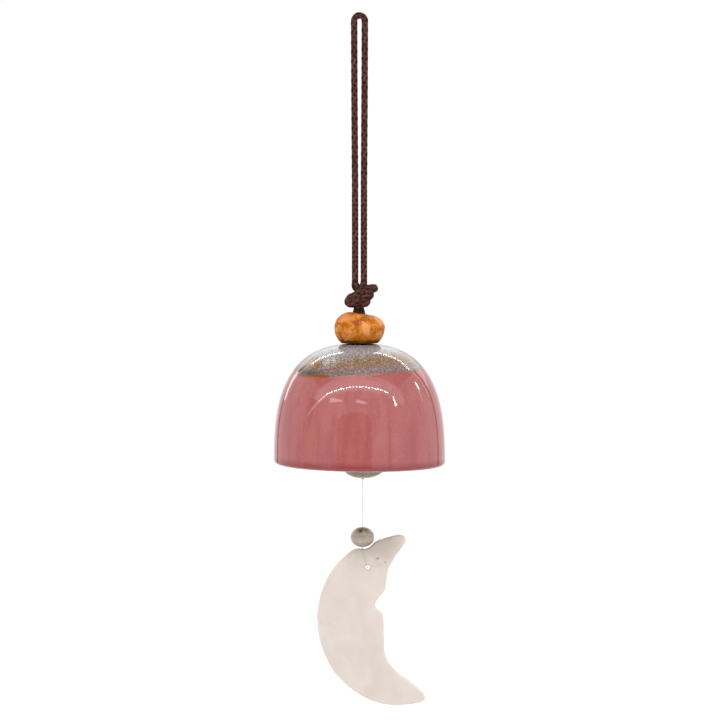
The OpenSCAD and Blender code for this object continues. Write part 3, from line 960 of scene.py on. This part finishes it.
# Millimetres: down the stone bead's bore, over the crescent's top edge and down its front face into the hole
LOOP_FRONT = [
    (1.2, -0.28, -207.5), (1.2, -0.28, -211), (1.2, -0.28, -214.9), (1.2, -0.36, -215.2),
    (1.2, -0.62, -215.38), (1.2, -1.1, -215.42), (1.2, -1.8, -215.45), (1.2, -2.4, -215.5),
    (1.25, -2.78, -215.95), (1.45, -2.8, -216.8), (1.9, -2.75, -218.4), (2.4, -2.7, -220.2),
    (3, -2.75, -222.2), (3.35, -2.35, -223.2), (3.4, -1.2, -223.4),
]


def line_piece(name, node, body, routes, material):
    tubes = Tubes()
    for route in routes:
        path = smooth_path(route, LINE_STEP)
        tubes.add(tube_rings(path, LINE_R, LINE_SIDES, (1, 0, 0.1)), run_of(path))
    made = tubes.object(name, material)
    made.visible_shadow = made.visible_diffuse = False
    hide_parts(node)
    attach(made, body)
    return made


def knot_routes(z, turns, pitch, radius):
    """The routes of a small knot at height z, in millimetres: a coil round the line, and the line in it."""
    x = LINE_X / MM
    coil = [(x + radius * math.cos(a), radius * math.sin(a), z + pitch * (a / (2 * math.pi) - turns / 2))
            for a in np.arange(0, 2 * math.pi * turns, 0.5)]
    return [coil, [(x, 0, z + KNOT_TAIL_UP), (x, 0, z), (x, 0, z - KNOT_TAIL_DOWN)]]


def straight(node):
    """The route in millimetres straight down the line from a node's top to its foot."""
    low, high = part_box(node)
    return [(LINE_X / MM, 0, z) for z in np.linspace(high.z, low.z, 5) / MM]


def make_line(material):
    tie_z = (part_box("line_tie")[0].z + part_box("line_tie")[1].z) / 2 / MM
    stop_z = (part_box("stop_knot")[0].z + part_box("stop_knot")[1].z) / 2 / MM
    line_piece("line_tie_knot", "line_tie", "line_tie", knot_routes(tie_z, 2.4, 0.4, 0.42), material)
    route = straight("clapper_line")
    upper = line_piece("line_to_clapper", "clapper_line", "clapper_line", [route], material)
    line_piece("line_stop_knot", "stop_knot", "clapper_line", knot_routes(stop_z, 2.8, 0.42, 0.46), material)
    line_piece("line_to_catcher", "catcher_line", "catcher_line", [straight("catcher_line")], material)
    back = [(px, -py, pz) for px, py, pz in LOOP_FRONT]
    line_piece("line_through_crescent", "crescent_loop", "crescent", [LOOP_FRONT + back[::-1]], material)


make_line(line_material())


# ---------------------------------------------------------------- studio

BELL_MIDDLE = Vector((0, 0, -150 * MM))
FLOOR_Z = -1.6
FLOOR_R = 14
SCREEN_FOOT_Z = -0.6
WALL_DISTANCE = 1.7
WORLD_STRENGTH = 1.01

FRONT_GAP = [
    (-0.87, -1.5, SCREEN_FOOT_Z), (0.43, -1.5, SCREEN_FOOT_Z), (0.43, -1.5, 0.22), (0.32, -1.5, 0.32),
    (0.05, -1.5, 0.38), (-0.45, -1.5, 0.38), (-0.75, -1.5, 0.32), (-0.87, -1.5, 0.22),
]
COVE = [(-2.6, -1.6, 1.3), (2.6, -1.6, 1.3), (2.6, -0.6, 1.3), (-2.6, -0.6, 1.3)]
CEILING = [(-1.8, -0.62, 1.29), (1.8, -0.62, 1.29), (1.8, 1.08, 1.29), (-1.8, 1.08, 1.29)]
# Name, azimuths of its two sides and elevation of its top in degrees, shade
WALLS = [
    ("left_gap", -82, -55, 24, 0.45),
    ("left_post", -38, -31, 22, 0.5),
    ("right_seam", 40, 42.5, 22, 0.3),
    ("left_corner", -146, -141, 30, 0.12),
    ("right_corner", 128, 133, 30, 0.12),
]
# Name, start and end from the middle of the bell, widths there, radiance
STRIPS = [
    ("back_lamps", (-0.86, 0.95, 0.94), (1.38, 0.95, 1.29), (0.016, 0.016), 45),
    ("back_glow", (0.2, 1.9, 0.6), (0.2, 1.9, 2.2), (4.4, 4.4), 1.9),
    ("front_glow", (-2.6, -0.9, 1.14), (2.6, -0.9, 1.14), (0.44, 0.44), 2.1),
    ("left_lamp", (-1.07, -0.72, 0.78), (-1.12, -0.56, 0.54), (0.035, 0.035), 10),
    ("left_tail", (-1.12, -0.56, 0.54), (-1.2, -0.30, 0.24), (0.07, 0.03), 2.6),
    ("right_spot", (0.77, -0.55, 0.56), (0.79, -0.55, 0.38), (0.03, 0.06), 22),
    ("right_lamp", (1.1, 0.42, 0.66), (1.12, 0.40, 0.50), (0.06, 0.06), 18),
    ("right_streak", (1.05, 0.33, 0.47), (1.08, 0.30, 0.30), (0.03, 0.03), 3.5),
    ("left_edge_lamp", (-0.8, 1.15, 0.52), (-0.95, 1.05, 0.17), (0.24, 0.14), 4),
    ("left_blob", (-0.90, -0.86, 0.66), (-0.55, -1.10, 0.68), (0.12, 0.03), 5),
    ("middle_blob", (-0.11, -1.25, 0.72), (0.24, -1.23, 0.66), (0.09, 0.05), 4.8),
]


def plain_material(name, colour, glow=0.0):
    s = Shader(name, Roughness=0.9)
    s.surface.inputs["Base Color"].default_value = (*colour, 1)
    s.surface.inputs["Emission Color"].default_value = (1, 1, 1, 1)
    s.surface.inputs["Emission Strength"].default_value = glow
    return s.material


def make_floor():
    mesh = bpy.data.meshes.new("floor")
    a = np.linspace(0, 2 * math.pi, 64, endpoint=False)
    ring = [(FLOOR_R * math.cos(t), FLOOR_R * math.sin(t), FLOOR_Z) for t in a]
    mesh.from_pydata(ring, [], [list(range(len(ring)))])
    add_object("floor", mesh, plain_material("floor_paint", (0.93, 0.93, 0.93), 0.12))


def make_screen(name, corners, material, shades=False):
    """A flat screen that only reflections see, unless it shades the light too."""
    mesh = bpy.data.meshes.new(name)
    mesh.from_pydata([tuple(c) for c in corners], [], [list(range(len(corners)))])
    screen = add_object(name, mesh, material)
    screen.visible_camera = False
    screen.visible_diffuse = screen.visible_shadow = shades


def make_strip(name, start, end, widths, radiance, dots=1, fill=1.0):
    """A glowing strip between two points that are given from the middle of the bell, facing it. dots cuts it
    into that many lamps, and fill is how much of its length they take."""
    start_width, end_width = widths
    start, end = BELL_MIDDLE + Vector(start), BELL_MIDDLE + Vector(end)
    across = (end - start).cross(BELL_MIDDLE - (start + end) / 2).normalized() / 2
    points, faces = [], []
    for i in range(dots):
        ends = [(i + (1 - fill) / 2) / dots, (i + (1 + fill) / 2) / dots]
        a, b = (start.lerp(end, t) for t in ends)
        wide_a, wide_b = (across * (start_width + (end_width - start_width) * t) for t in ends)
        faces.append([len(points) + k for k in range(4)])
        points += [tuple(p) for p in (a - wide_a, b - wide_b, b + wide_b, a + wide_a)]
    mesh = bpy.data.meshes.new(name)
    mesh.from_pydata(points, [], faces)
    strip = add_object(name, mesh, plain_material(name + "_light", (0, 0, 0), radiance))
    strip.visible_camera = False


def make_wall(name, low, high, top, shade):
    """A standing grey screen round the bell, from azimuth low to azimuth high and up to the elevation top,
    all in degrees."""
    corners = []
    for azimuth in (low, high):
        a = math.radians(azimuth)
        corners.append(Vector((math.sin(a), -math.cos(a), 0)) * WALL_DISTANCE)
    rise = Vector((0, 0, BELL_MIDDLE.z + WALL_DISTANCE * math.tan(math.radians(top))))
    sink = Vector((0, 0, SCREEN_FOOT_Z))
    quad = [corners[0] + sink, corners[1] + sink, corners[1] + rise, corners[0] + rise]
    make_screen(name, quad, plain_material(name + "_paint", (shade, shade, shade)))


def make_world():
    world = bpy.data.worlds.new("world")
    world.use_nodes = True
    background = world.node_tree.nodes["Background"]
    background.inputs["Color"].default_value = (1, 1, 1, 1)
    background.inputs["Strength"].default_value = WORLD_STRENGTH
    bpy.context.scene.world = world
    bpy.context.scene.view_settings.view_transform = "Standard"


def make_studio():
    make_world()
    make_floor()
    make_screen("front_gap", FRONT_GAP, plain_material("gap_paint", (0.06, 0.06, 0.06)))
    make_screen("cove", COVE, plain_material("cove_light", (0.2, 0.2, 0.2), 1.35), shades=True)
    make_screen("ceiling", CEILING, plain_material("ceiling_paint", (0.2, 0.19, 0.17)), shades=True)
    for wall in WALLS:
        make_wall(*wall)
    make_strip("front_lamps", (-1.5, -0.95, 1.05), (1.1, -0.95, 1.05), (0.02, 0.02), 90, dots=25, fill=0.5)
    for strip in STRIPS:
        make_strip(*strip)


make_studio()
